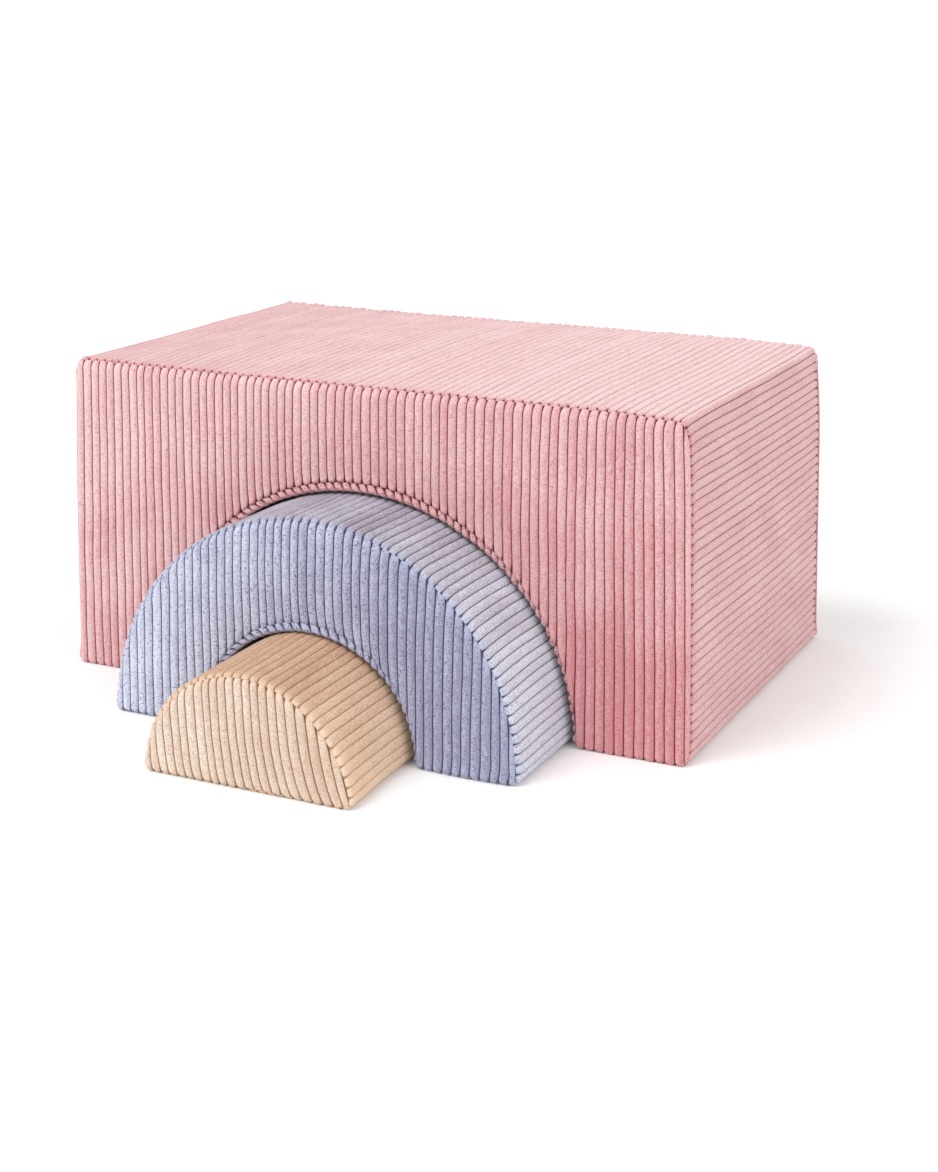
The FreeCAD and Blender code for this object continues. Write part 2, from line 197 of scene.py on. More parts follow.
def wander(seed, across, along, seam):
    """How far a wale strays sideways: a little by itself, more with its neighbours, less at a seam."""
    alone = STRAY * waves(seed, np.stack([across * 3, along], axis=-1), STRAY_LENGTH)
    together = DRIFT * waves(seed + 1, np.stack([across, along], axis=-1), DRIFT_LENGTH)
    return (alone + together) * np.clip(seam / HELD_STRAIGHT, 0, 1)


def wale_widths(rng, length):
    """Edges of uneven wales that fill a length."""
    count = max(1, round(length / WALE))
    widths = np.clip(rng.normal(1, 0.05, count), 0.86, 1.14)
    return np.concatenate([[0], np.cumsum(widths) / widths.sum()]) * length


def wales(rng, stretches):
    """Samples across a panel whose wales meet the given places: their places, shares and wale numbers."""
    places, shares, numbers = [], [], []
    count = 0
    for start, end in zip(stretches, stretches[1:]):
        edges = start + wale_widths(rng, end - start)
        for left, right in zip(edges, edges[1:]):
            places.append(left + ACROSS * (right - left))
            shares.append(ACROSS)
            numbers.append(np.full(len(ACROSS), count))
            count += 1
    places.append([stretches[-1]])
    shares.append([1.0])
    numbers.append([count - 1])
    ends = [0, *range(sum(len(p) for p in places)), -1]
    return tuple(np.concatenate(values)[ends] for values in (places, shares, numbers))


def rows_between(low, high):
    """Rows along each column from low to high, closer together at both ends."""
    length = high - low
    scale = np.minimum(1, length / (2.2 * ROWS_AT_SEAM[-1]))[:, None]
    near = ROWS_AT_SEAM[None, :] * scale
    count = max(2, round(length.max() / ROW_STEP))
    share = np.linspace(0, 1, count + 1)[None, 1:-1]
    start, end = near[:, -1:], length[:, None] - near[:, -1:]
    middle = start + share * (end - start)
    return low[:, None] + np.concatenate([near, middle, length[:, None] - near[:, ::-1]], axis=1)


def rows_past_slot(low, high, slot):
    """The same, with rows on both edges of a zip's slot if there is one."""
    if slot is None:
        return rows_between(low, high)
    levels = [low, np.full_like(low, slot[2]), np.full_like(low, slot[3]), high]
    parts = [rows_between(a, b) for a, b in zip(levels, levels[1:])]
    return np.concatenate([parts[0]] + [part[:, 1:] for part in parts[1:]], axis=1)


def beside_slot(across, along, slot, seam):
    """The distance to the nearest seam or slot, which quads are outside the slot, and its cut edge."""
    if slot is None:
        return np.maximum(seam, 0), None, False
    beyond_across = np.abs(across - (slot[0] + slot[1]) / 2) - (slot[1] - slot[0]) / 2
    beyond_along = np.abs(along - (slot[2] + slot[3]) / 2) - (slot[3] - slot[2]) / 2
    away = np.maximum(beyond_across, beyond_along)
    keep = (away[:-1, :-1] + away[1:, 1:]) / 2 > 0
    return np.maximum(np.minimum(seam, np.maximum(away, 0)), 0), keep, np.abs(away) < 0.1 * MM


# ---- meshes ----


def placed(name, data):
    """A new object in the scene."""
    thing = bpy.data.objects.new(name, data)
    bpy.context.scene.collection.objects.link(thing)
    return thing


def grid_object(name, points, outward, values, keep):
    """A grid of quads as an object, its faces turned outward, with point attributes from values."""
    columns, rows = points.shape[:2]
    index = np.arange(columns * rows).reshape(columns, rows)
    quads = np.stack([index[:-1, :-1], index[1:, :-1], index[1:, 1:], index[:-1, 1:]], axis=-1)
    if keep is not None:
        quads = quads[keep]
    quads = quads.reshape(-1, 4)
    flat = points.reshape(-1, 3)
    a, b, d = (flat[quads[:, k]] for k in (0, 1, 3))
    turned = np.einsum("ij,ij->i", np.cross(b - a, d - a), outward.reshape(-1, 3)[quads[:, 0]])
    if turned.sum() < 0:
        quads = quads[:, ::-1]
    used, quads = np.unique(quads, return_inverse=True)
    quads = quads.reshape(-1, 4)
    mesh = bpy.data.meshes.new(name)
    mesh.vertices.add(len(used))
    mesh.vertices.foreach_set("co", flat[used].astype(np.float32).ravel())
    mesh.loops.add(quads.size)
    mesh.loops.foreach_set("vertex_index", quads.astype(np.int32).ravel())
    mesh.polygons.add(len(quads))
    mesh.polygons.foreach_set("loop_start", np.arange(0, quads.size, 4, dtype=np.int32))
    mesh.update(calc_edges=True)
    mesh.shade_smooth()
    for key, value in values.items():
        attribute = mesh.attributes.new(key, "FLOAT", "POINT")
        value = np.broadcast_to(value, points.shape[:2])
        attribute.data.foreach_set("value", value.reshape(-1)[used].astype(np.float32))
    return placed(name, mesh)


def wale_relief(seed, shares, numbers, seam, flatness, shape, bold=0.0, shallow=1.0):
    """Height of the pile, 0 on the crests, and the attributes that colour it.

    flatness makes the crests flat and the grooves narrow. Where bold is 1, they are rounder and deeper.
    """
    rng = np.random.default_rng(seed)
    count = int(numbers.max()) + 1
    tall = rng.uniform(0.88, 1.0, count)[numbers][:, None]
    tone = rng.uniform(0, 1, count)[numbers][:, None]
    short = rng.uniform(0, shape.uneven, count)[numbers][:, None]
    # a wale narrows and rounds down to the seam at its end
    width = 1 - 0.25 * np.exp(-seam / (3 * MM))
    off_middle = np.minimum(np.abs(2 * shares[:, None] - 1) / width, 1)
    crown = (1 - off_middle ** (flatness + (2.2 - flatness) * bold)) ** 0.55
    end = np.clip((seam - short * crown) / (SEAM_PIT + (SEAM_ROUND - SEAM_PIT) * crown), 0, 1)
    end = np.sqrt(1 - (1 - end) ** 2)
    deeper = 1 + (BOLDER - 1) * np.maximum(bold, shape.pits * np.exp(-seam / (4 * MM)))
    height = GROOVE_DEPTH * shallow * (deeper * (crown - 1) + crown * (tall - 1))
    pucker = np.exp(-(((seam - SEAM_ROUND) / (2.5 * MM)) ** 2)) * crown * tone
    height = height + PUCKER * shape.pits * pucker
    height = -shape.depth + (height + shape.depth) * end
    for edge in (height[0], height[-1], height[:, 0], height[:, -1]):
        edge[...] = -shape.depth - ALLOWANCE
    values = {"pile": crown, "share": shares[:, None], "tone": tone, "seam": np.exp(-seam / (5 * MM))}
    return height, values


def cut_cloth(cloth, reach):
    """Where each column of a panel starts and ends: a function of x with both, and the panel's width."""
    heights = np.linspace(0, HEIGHT, 500)

    def span(x):
        inner = heights[cloth(x[:, None], heights[None, :]).argmax(axis=1)]
        return edge_of(cloth, x, inner, inner * 0 - HEIGHT), edge_of(cloth, x, inner, inner * 0 + 2 * HEIGHT)

    tried = np.arange(-reach, reach, 0.25 * MM)
    within = cloth(tried[:, None], heights[None, :]).max(axis=1) > 0.2 * MM
    return span, tried[within][0], tried[within][-1]


def edge_of(region, x, inner, outer):
    """Where each column leaves a region, between a height inside it and one outside."""
    for _ in range(30):
        middle = (inner + outer) / 2
        within = region(x, middle) > 0
        inner = np.where(within, middle, inner)
        outer = np.where(within, outer, middle)
    return inner


def straight(x, z):
    """The lean of wales that stand upright."""
    return x


def make_panel(node, shape, material, facing, seed, slot=None, lean=straight, painted_light=None, patch=60 * MM):
    """A front or back panel with upright wales, rolled over the edges round it. facing is -1 for a front."""
    rng = np.random.default_rng(seed)
    front, back = depth_of(shape.owner)

    def cloth(x, z):
        return shape.cloth(lean(x, z), z)

    span, left, right = cut_cloth(cloth, HALF_WIDTH + 2 * ROLL)
    places, shares, numbers = wales(rng, [left, *slot[:2], right] if slot else [left, right])
    low, high = span(places)
    z = rows_past_slot(low, high, slot)
    x = np.broadcast_to(places[:, None], z.shape)
    seam, keep, cut = beside_slot(x, z, slot, cloth(x, z))
    x = lean(x, z) + wander(seed + 1, x, z, seam)
    height, values = wale_relief(seed + 2, shares, numbers, seam, 3.4, shape)
    height = np.where(cut, -COVER, height)
    # patches of brushed pile, plus any painted light and shade given
    values["brushed_and_shade"] = brushed_and_shade(seed + 3, x, z, painted_light and painted_light(x, z), patch)
    # roll the flat cloth over the edge
    distance, across, up, radius, _ = shape.at(x, z)
    past = np.maximum(radius - distance, 0)
    angle = np.minimum(past / radius, math.pi / 2)
    shift = radius * np.sin(angle) - past
    fall = radius * (1 - np.cos(angle)) + past - radius * angle
    y = (front if facing < 0 else back) - facing * fall
    points = np.stack([x + across * shift, y, z + up * shift], axis=-1)
    normal = np.stack([across * np.sin(angle), facing * np.cos(angle), up * np.sin(angle)], axis=-1)
    cover(node, shape.owner, material, points + normal * height[..., None], normal, values, keep)


def brushed_and_shade(seed, across, along, more=None, patch=60 * MM):
    """How far the pile is darkened, from 0 to 1: broad patches of brushed pile, and painted light and shade
    added from more.
    """
    value = 0.5 + 0.1 * waves(seed, np.stack([across, along * 0.6], axis=-1), patch, 16)
    return np.clip(value if more is None else value + more, 0, 1)


# ---- paths of the bands, seen from the front ----


def arc(centre, radius, start, end):
    """Points and outward directions along an arc. A negative radius is a hollow one."""
    count = max(4, round(abs(radius * (end - start)) / (1 * MM)))
    angles = np.linspace(start, end, count)
    away = np.stack([np.cos(angles), np.sin(angles)], axis=-1)
    return np.array(centre) + abs(radius) * away, away * np.sign(radius)


def line(start, end, away):
    return np.array([start, end], float), np.array([away, away], float)


def joined(stretches):
    """One path from several: distance along it, points and outward directions."""
    points = np.concatenate([s[0] for s in stretches])
    away = np.concatenate([s[1] for s in stretches])
    steps = np.linalg.norm(np.diff(points, axis=0), axis=1)
    fresh = np.concatenate([[True], steps > 1e-6])
    points, away = points[fresh], away[fresh]
    along = np.concatenate([[0], np.cumsum(np.linalg.norm(np.diff(points, axis=0), axis=1))])
    return along, points, away


def mirrored(stretches):
    """The stretches, which end on the middle line, followed by their mirror images."""
    other = [(p[::-1] * [-1, 1], n[::-1] * [-1, 1]) for p, n in reversed(stretches)]
    return joined(stretches + other)


def meets_floor(radius, side):
    """Where the rounded corner beside a curved wall meets the floor. side is 1 for a tunnel's wall, or -1."""
    return math.sqrt((radius + side * FOOT_CORNER) ** 2 - FOOT_CORNER**2)


def curved_path(radius, side):
    """From under the left foot, round a half circle, to under the right one."""
    reach = meets_floor(radius, side)
    meets = math.atan2(FOOT_CORNER, reach)
    turned = -meets if side > 0 else -math.pi - meets
    return mirrored([
        line((-reach - side * UNDER, 0), (-reach, 0), (0, -1)),
        arc((-reach, FOOT_CORNER), FOOT_CORNER, -math.pi / 2, turned),
        arc((0, 0), -side * radius, math.pi - meets, math.pi / 2),
    ])


def block_path():
    side, top = HALF_WIDTH, HEIGHT
    return mirrored([
        line((-side + FOOT_CORNER + UNDER, 0), (-side + FOOT_CORNER, 0), (0, -1)),
        arc((-side + FOOT_CORNER, FOOT_CORNER), FOOT_CORNER, -math.pi / 2, -math.pi),
        line((-side, FOOT_CORNER), (-side, top - CORNER), (-1, 0)),
        arc((-side + CORNER, top - CORNER), CORNER, math.pi, math.pi / 2),
        line((-side + CORNER, top), (0, top), (0, 1)),
    ])


def floor_path(left, right):
    """Along the underside of a foot."""
    return joined([line((left, 0), (right, 0), (0, -1))])


def make_band(
    node, shape, material, path, seed, slot=None, slant=0.0, lip=0.0, painted_light=None, shallow=1.0
):
    """A band whose wales run front to back and roll over both edges to the seams.

    slant is how far the wales lean on the roll, lip how far the knuckles of a tunnel's edge stand in.
    """
    rng = np.random.default_rng(seed)
    front, back = depth_of(shape.owner)
    distance, outline, directions = path
    places, shares, numbers = wales(rng, [0, *slot[:2], distance[-1]] if slot else [0, distance[-1]])
    middle = [np.interp(places, distance, outline[:, k]) for k in (0, 1)]
    roll, angle = shape.edge(*middle)
    low, high = front + roll * (1 - math.pi / 2 + angle), back - roll * (1 - math.pi / 2 + angle)
    v = rows_past_slot(low, high, slot)
    s = np.broadcast_to(places[:, None], v.shape)
    to_end = np.minimum(v - low[:, None], high[:, None] - v)
    seam = np.minimum(to_end, np.minimum(s, distance[-1] - s))
    seam, keep, cut = beside_slot(s, v, slot, seam)
    roll = roll[:, None]
    start, end = front + roll, back - roll
    past_front, past_back = np.maximum(start - v, 0), np.maximum(v - end, 0)
    past = past_front + past_back
    moved = np.clip(s + wander(seed + 1, s, v, seam) - slant * past, 0, distance[-1])
    # the edge of a tunnel stands in as a row of knuckles
    rolled = (start - low[:, None]) * 0.8
    edge = np.exp(-((np.maximum(to_end - rolled, 0) / KNUCKLE) ** 2)) if lip else 0.0 * v
    height, values = wale_relief(seed + 2, shares, numbers, seam, 5.5, shape, edge, shallow)
    height = np.where(cut, -COVER, height)
    # patches of brushed pile, plus any painted light and shade given
    values["brushed_and_shade"] = brushed_and_shade(seed + 3, s, v, painted_light and painted_light(*(m[:, None] for m in middle)))
    place = np.stack([np.interp(moved, distance, outline[:, k]) for k in (0, 1)], axis=-1)
    above = np.clip(place[..., 1] / (2 * FOOT_CORNER), 0, 1)
    level = place[..., 1] / np.hypot(place[..., 0], place[..., 1])
    height = height + lip * above * level**2 * edge * np.clip(to_end / (4 * MM), 0, 1)
    away = np.stack([np.interp(moved, distance, directions[:, k]) for k in (0, 1)], axis=-1)
    away /= np.linalg.norm(away, axis=-1, keepdims=True)
    angle = past / roll
    facing = np.where(past_front > 0, -1.0, 1.0)
    out = np.cos(angle)
    y = np.clip(v, start, end) + facing * roll * np.sin(angle)
    x, z = np.moveaxis(place - away * (roll * (1 - out))[..., None], -1, 0)
    points = np.stack([x, y, z], axis=-1)
    normal = np.stack([away[..., 0] * out, facing * np.sin(angle), away[..., 1] * out], axis=-1)
    cover(node, shape.owner, material, points + normal * height[..., None], normal, values, keep)


# ---- materials ----


def linear(red, green, blue):
    """A colour given as 0 to 255 sRGB values, as Blender's linear one."""
    values = [c / 255 for c in (red, green, blue)]
    return [c / 12.92 if c <= 0.04045 else ((c + 0.055) / 1.055) ** 2.4 for c in values] + [1.0]


class Nodes:
    """The nodes of a material or a world, and short ways to add and link them."""

    def __init__(self, owner, shader="Principled BSDF"):
        owner.use_nodes = True
        self.owner = owner
        self.tree = owner.node_tree
        self.shader = self.tree.nodes[shader]

    def add(self, kind, inputs=None, **settings):
        node = self.tree.nodes.new("ShaderNode" + kind)
        for key, value in settings.items():
            setattr(node, key, value)
        for key, value in (inputs or {}).items():
            self.put(node, key, value)
        return node

    def put(self, node, key, value):
        """Sets a socket to a value, or links another node's output to it."""
        if isinstance(value, bpy.types.NodeSocket):
            self.tree.links.new(value, node.inputs[key])
        else:
            node.inputs[key].default_value = value

    def attribute(self, name):
        return self.add("Attribute", attribute_name=name).outputs["Fac"]

    def noise(self, scale, detail=2.0, rough=0.5, stretch=(1, 1, 1)):
        where = self.add("TexCoord").outputs["Object"]
        placed = self.add("Mapping", {"Vector": where, "Scale": stretch})
        inputs = {"Vector": placed.outputs[0], "Scale": scale, "Detail": detail, "Roughness": rough}
        return self.add("TexNoise", inputs).outputs["Fac"]

    def ramp(self, factor, *stops):
        node = self.add("ValToRGB", {"Fac": factor})
        elements = node.color_ramp.elements
        while len(elements) < len(stops):
            elements.new(0.5)
        for element, (place, colour) in zip(elements, stops):
            element.position = place
            element.color = colour
        return node.outputs["Color"]

    def range(self, value, low, high, to_low=0.0, to_high=1.0):
        inputs = {"Value": value, "From Min": low, "From Max": high, "To Min": to_low, "To Max": to_high}
        return self.add("MapRange", inputs).outputs["Result"]

    def finish(self, colour, roughness, height=None, strength=0.0, distance=0.0):
        """Sets the shader's colour, roughness and bump, and returns the material."""
        self.put(self.shader, "Base Color", colour)
        self.put(self.shader, "Roughness", roughness)
        if height is not None:
            bump = self.add("Bump", {"Strength": strength, "Distance": distance, "Height": height})
            self.put(self.shader, "Normal", bump.outputs[0])
        return self.owner

    def math(self, operation, first, second):
        return self.add("Math", {0: first, 1: second}, operation=operation).outputs[0]

    def mix(self, factor, first, second, blend="MIX"):
        node = self.add("Mix", data_type="RGBA", blend_type=blend)
        self.put(node, 0, factor)
        self.put(node, 6, first)
        self.put(node, 7, second)
        return node.outputs[2]


def corduroy(name, crest, stroked_and_shade, groove, deep, crushed, specks, stretch, fade=0.0, lean=0.3, pits=0.0):
    """Wide-wale corduroy: light crests, grooves with painted shade, brushed patches, painted shade and loose
    specks of pile.

    crest and stroked are the pile's two colours, and stroked, the darker, also serves for painted shade.
    groove and deep tint the grooves, partly their own colour and partly painted shade, and crushed is the
    pile at a seam. fade lightens the grooves there, lean is how much painted shade falls on one flank of each
    wale, partly the pile's lean, and pits is how much painted shade darkens the grooves' ends.
    """
    n = Nodes(bpy.data.materials.new(name))
    pile = n.attribute("pile")
    share = n.attribute("share")
    tone = n.attribute("tone")
    seam = n.attribute("seam")
    patches_and_shade = n.attribute("brushed_and_shade")
    streaks = n.noise(60, 3.0, 0.6, stretch)
    tufts = n.noise(380, 2.0, 0.6)
    grains = n.noise(900, 1.0, 0.5)
    loose = n.noise(560, 0.0, 0.5)
    # painted shade on one flank of each wale, partly the lean of the pile
    leaning_and_shade = n.range(share, 0.3, 0.8)
    # patches of brushed pile, and the painted light and shade laid over them
    amount = n.math("MULTIPLY", patches_and_shade, 0.75)
    amount = n.math("ADD", amount, n.math("MULTIPLY", leaning_and_shade, lean))
    amount = n.math("ADD", amount, n.range(tone, 0, 1, -0.1, 0.1))
    amount = n.math("ADD", amount, n.range(streaks, 0.3, 0.7, -0.12, 0.12))
    amount = n.math("ADD", amount, n.range(tufts, 0.3, 0.7, -0.22, 0.22))
    face = n.mix(amount, linear(*crest), linear(*stroked_and_shade))
    dark, pale, white = linear(222, 218, 218), linear(250, 250, 250), linear(255, 255, 255)
    grain = n.ramp(grains, (0.35, dark), (0.5, pale), (0.66, white))
    face = n.mix(1.0, face, grain, "MULTIPLY")
    # a seam crushes the pile
    face = n.mix(n.math("MULTIPLY", seam, n.range(tufts, 0.35, 0.65, 0.3, 0.9)), face, linear(*crushed))
    # the grooves darken towards their bottoms: partly their own colour, partly painted shade
    valley = n.ramp(pile, (0.0, linear(*deep)), (0.35, linear(*groove)), (0.68, white))
    valley = n.mix(n.math("MULTIPLY", seam, fade), valley, white)
    colour = n.mix(1.0, face, valley, "MULTIPLY")
    # the grooves end in pits at a seam, darkened with painted shade
    pit_shade = n.math("MULTIPLY", n.range(seam, 0.25, 0.75, 0.0, pits), n.range(pile, 0.95, 0.5))
    colour = n.mix(pit_shade, colour, linear(*(0.8 * value for value in deep)))
    # loose specks, many more of them at a seam
    limit = n.math("ADD", specks, n.math("MULTIPLY", seam, 0.06))
    speck = linear(*((first + second) / 2 for first, second in zip(groove, deep)))
    colour = n.mix(n.math("MULTIPLY", n.math("LESS_THAN", loose, limit), 0.75), colour, speck)
    n.put(n.shader, "Specular IOR Level", 0.2)
    n.put(n.shader, "Sheen Weight", 0.3)
    n.put(n.shader, "Sheen Roughness", 0.5)
    n.put(n.shader, "Sheen Tint", linear(*crest))
    bumps = n.math("ADD", n.math("MULTIPLY", tufts, 0.6), n.math("MULTIPLY", grains, 0.4))
    return n.finish(colour, 0.92, bumps, 0.6, 1.3 * MM)


def foam_material():
    n = Nodes(bpy.data.materials.new("open_cell_foam"))
    cells = n.add("TexVoronoi", {"Scale": 700.0}, feature="DISTANCE_TO_EDGE").outputs["Distance"]
    where = n.add("TexCoord").outputs["Object"]
    n.put(cells.node, "Vector", where)
    colour = n.ramp(cells, (0.0, linear(236, 226, 196)), (0.25, linear(206, 190, 148)))
    mottled = n.mix(n.range(n.noise(18), 0.3, 0.7, 0.0, 0.35), colour, linear(226, 214, 178))
    return n.finish(mottled, 0.95, cells, 0.6, 0.5 * MM)


def tape_material(name, light, dark):
    """Woven zip tape: a fine twill."""
    n = Nodes(bpy.data.materials.new(name))
    where = n.add("TexCoord").outputs["Object"]
    twill = n.add("TexWave", {"Vector": where, "Scale": 260.0, "Distortion": 1.2}, bands_direction="DIAGONAL")
    weave = twill.outputs["Fac"]
    n.put(n.shader, "Sheen Weight", 0.2)
    colour = n.ramp(weave, (0.1, linear(*dark)), (0.8, linear(*light)))
    return n.finish(colour, 0.85, weave, 0.5, 0.2 * MM)


def coil_material():
    n = Nodes(bpy.data.materials.new("nylon_coil"))
    mottled = n.ramp(n.noise(400), (0.3, linear(206, 204, 200)), (0.7, linear(232, 230, 226)))
    return n.finish(mottled, 0.4)


def metal_material():
    """Nickel-plated zinc with light scratches."""
    n = Nodes(bpy.data.materials.new("plated_zinc"))
    scratches = n.noise(500, 3.0, 0.6, (1, 8, 1))
    colour = n.ramp(scratches, (0.35, linear(168, 168, 172)), (0.7, linear(214, 214, 218)))
    n.put(n.shader, "Metallic", 1.0)
    return n.finish(colour, n.range(scratches, 0.3, 0.7, 0.22, 0.42), scratches, 0.15, 0.1 * MM)


# ---- putting a piece on its body ----


def dress(piece, node, owner, material):
    """The piece stands for a CAD node, rides on its owner's body and takes its finish from a slot."""
    piece.data.materials.clear()
    piece.data.materials.append(material)
    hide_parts(node)
    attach(piece, owner)


# how noise is stretched along the wales of the front and back panels, and of the bands
UPRIGHT = (6, 6, 1)
LENGTHWISE = (6, 1, 6)

ROSE_FRONT = corduroy(
    "rose_front", crest=(240, 208, 208), stroked_and_shade=(206, 134, 138), groove=(186, 92, 106), deep=(140, 48, 66),
    crushed=(232, 182, 184), specks=0.24, stretch=UPRIGHT, pits=0.95,
)
ROSE_BAND = corduroy(
    "rose_band", crest=(238, 208, 208), stroked_and_shade=(214, 164, 166), groove=(176, 52, 76), deep=(108, 12, 38),
    crushed=(214, 148, 154), specks=0.22, stretch=LENGTHWISE, lean=0.15, pits=0.35,
)
# the same cloth on the tunnel's edge, darker: painted shade between the knuckles and under the edge
ROSE_EDGE = corduroy(
    "rose_tunnel", crest=(238, 200, 198), stroked_and_shade=(206, 140, 144), groove=(138, 64, 70), deep=(72, 28, 36),
    crushed=(224, 176, 178), specks=0.30, stretch=LENGTHWISE, lean=0.15,
)
BLUE_FRONT = corduroy(
    "periwinkle_front", crest=(222, 227, 245), stroked_and_shade=(150, 150, 178), groove=(124, 124, 158),
    deep=(64, 64, 96), crushed=(190, 194, 220), specks=0.30, stretch=UPRIGHT, fade=0.4, pits=0.25,
)
BLUE_BAND = corduroy(
    "periwinkle_band", crest=(222, 228, 240), stroked_and_shade=(150, 138, 152), groove=(146, 120, 132),
    deep=(90, 66, 78), crushed=(170, 176, 206), specks=0.25, stretch=LENGTHWISE, fade=0.5, lean=0.15,
    pits=0.15,
)
# the same cloth on the tunnel's edge, darker: painted shade between the knuckles and under the edge
BLUE_EDGE = corduroy(
    "periwinkle_tunnel", crest=(206, 210, 230), stroked_and_shade=(152, 152, 180), groove=(96, 96, 128),
    deep=(44, 44, 66), crushed=(186, 190, 214), specks=0.31, stretch=LENGTHWISE, lean=0.15,
)
SAND_FRONT = corduroy(
    "sand_front", crest=(241, 232, 218), stroked_and_shade=(208, 180, 158), groove=(214, 158, 134), deep=(176, 116, 94),
    crushed=(230, 208, 182), specks=0.27, stretch=UPRIGHT, fade=0.3, pits=0.3,
)
SAND_BAND = corduroy(
    "sand_band", crest=(240, 211, 182), stroked_and_shade=(192, 151, 123), groove=(232, 202, 182), deep=(208, 170, 148),
    crushed=(236, 218, 196), specks=0.28, stretch=LENGTHWISE, fade=0.4, lean=0.15, pits=0.3,
)
FOAM = foam_material()
TAPES = {
    "block": tape_material("rose_tape", (214, 160, 164), (184, 124, 130)),
    "arch": tape_material("periwinkle_tape", (170, 172, 200), (136, 138, 168)),
    "half_round": tape_material("sand_tape", (222, 198, 168), (190, 162, 132)),
}
COIL = coil_material()
METAL = metal_material()


# ---- the foam, swelled by a cloth simulation, and how the covers follow it ----


class Swelling:
    """How far each place on a piece is pressed outward, kept on a grid of cells."""

    def __init__(self, low, high):
        self.low = np.array(low) - 2 * CELL
        count = np.ceil((np.array(high) + 2 * CELL - self.low) / CELL).astype(int) + 1
        self.moves = np.zeros((*count, 3))

    def fill(self, rest, moves):
        """Each cell takes the movement of the surface nearest to it."""
        tree = KDTree(len(rest))
        for number, place in enumerate(rest):
            tree.insert(place, number)
        tree.balance()
        for index in np.ndindex(self.moves.shape[:3]):
            near = tree.find_n(self.low + CELL * np.array(index), 8)
            self.moves[index] = np.mean([moves[number] for _, number, _ in near], axis=0)

    def settle(self, left, right, within, height):
        """Lets the sides out, by left and right at the floor, less higher up and nothing within."""
        x, _, z = self.places()
        side = np.clip((np.abs(x) - within) / (x.max() - 2 * CELL - within), 0, 1)
        self.moves[..., 0] += side * np.where(x < 0, -left, right) * (1 - np.clip(z / height, 0, 1))

    def push(self, centre, reach, move):
        """Dents or raises the places round a centre."""
        away = sum(((place - at) / far) ** 2 for place, at, far in zip(self.places(), centre, reach))
        self.moves += np.exp(-away)[..., None] * np.array(move)

    def places(self):
        """x, y and z of the cells' corners."""
        return np.moveaxis(self.low + CELL * np.moveaxis(np.indices(self.moves.shape[:3]), 0, -1), -1, 0)

    def at(self, points):
        place = (points - self.low) / CELL
        corner = np.clip(np.floor(place).astype(int), 0, np.array(self.moves.shape[:3]) - 2)
        share = place - corner
        total = np.zeros(points.shape)
        for step in np.ndindex(2, 2, 2):
            weight = np.prod(np.where(step, share, 1 - share), axis=-1, keepdims=True)
            total += weight * self.moves[tuple((corner + step).T)]
        return total


def vertices_of(mesh):
    values = np.empty(3 * len(mesh.vertices))
    mesh.vertices.foreach_get("co", values)
    return values.reshape(-1, 3)


def solid_copy(name, node):
    """A CAD node's shape as a new object, in the frame's own place."""
    source = bpy.data.objects[node]
    mesh = source.data.copy()
    mesh.transform(source.matrix_world)
    mesh.materials.clear()
    return placed(name, mesh)


def applied(piece):
    """The piece with its modifiers made part of its mesh."""
    result = bpy.data.meshes.new_from_object(piece.evaluated_get(bpy.context.evaluated_depsgraph_get()))
    piece.modifiers.clear()
    piece.data = result
    return result


def axes_of(owner):
    """Which axes run along, across and into a zip."""
    return (0, 2, 1) if owner == "block" else (1, 0, 2)


def zip_reach(owner):
    """The least and greatest corner of a zip's two tapes."""
    corners = [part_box(f"{owner}_zip_{side}_tape") for side in ("left", "right")]
    return np.min([low for low, _ in corners], axis=0), np.max([high for _, high in corners], axis=0)


def cut_channel(foam, owner):
    """Makes room in the foam for the tapes, the coil and the slider of a zip."""
    room, behind, open_side = 1 * MM, 5 * MM, 13 * MM
    low, high = zip_reach(owner)
    depth = axes_of(owner)[2]
    at_low, at_high = (behind, open_side) if owner == "block" else (open_side, behind)
    low -= [at_low if axis == depth else room for axis in range(3)]
    high += [at_high if axis == depth else room for axis in range(3)]
    shape = bmesh.new()
    bmesh.ops.create_cube(shape, size=1)
    mesh = bpy.data.meshes.new("channel")
    shape.to_mesh(mesh)
    shape.free()
    channel = placed("channel", mesh)
    channel.location = (low + high) / 2
    channel.scale = high - low
    cut = foam.modifiers.new("channel", "BOOLEAN")
    cut.object = channel
    applied(foam)
    bpy.data.objects.remove(channel)


def swell(owner, held, most, settled, pushes):
    """Makes the foam of a piece, swelled by air pressure wherever it isn't held, and returns its Swelling.

    settled and pushes, as for Swelling.settle and Swelling.push, are how it has given way in use.
    """
    foam = solid_copy(f"{owner}_foam", f"{owner}_foam_core")
    remesh = foam.modifiers.new("remesh", "REMESH")
    remesh.mode = "VOXEL"
    remesh.voxel_size = VOXEL
    rounding = foam.modifiers.new("rounding", "SMOOTH")
    rounding.factor = 0.5
    rounding.iterations = 8
    applied(foam)
    rest = vertices_of(foam.data)
    swelling = Swelling(rest.min(axis=0), rest.max(axis=0))
    moves = simulated(foam, rest, held)
    moves *= most / np.linalg.norm(moves, axis=1).max()
    swelling.fill(rest, moves)
    swelling.settle(*settled)
    for push in pushes:
        swelling.push(*push)
    foam.data.vertices.foreach_set("co", (rest + swelling.at(rest)).astype(np.float32).ravel())
    foam.data.shade_smooth()
    cut_channel(foam, owner)
    dress(foam, f"{owner}_foam_core", owner, FOAM)
    return swelling


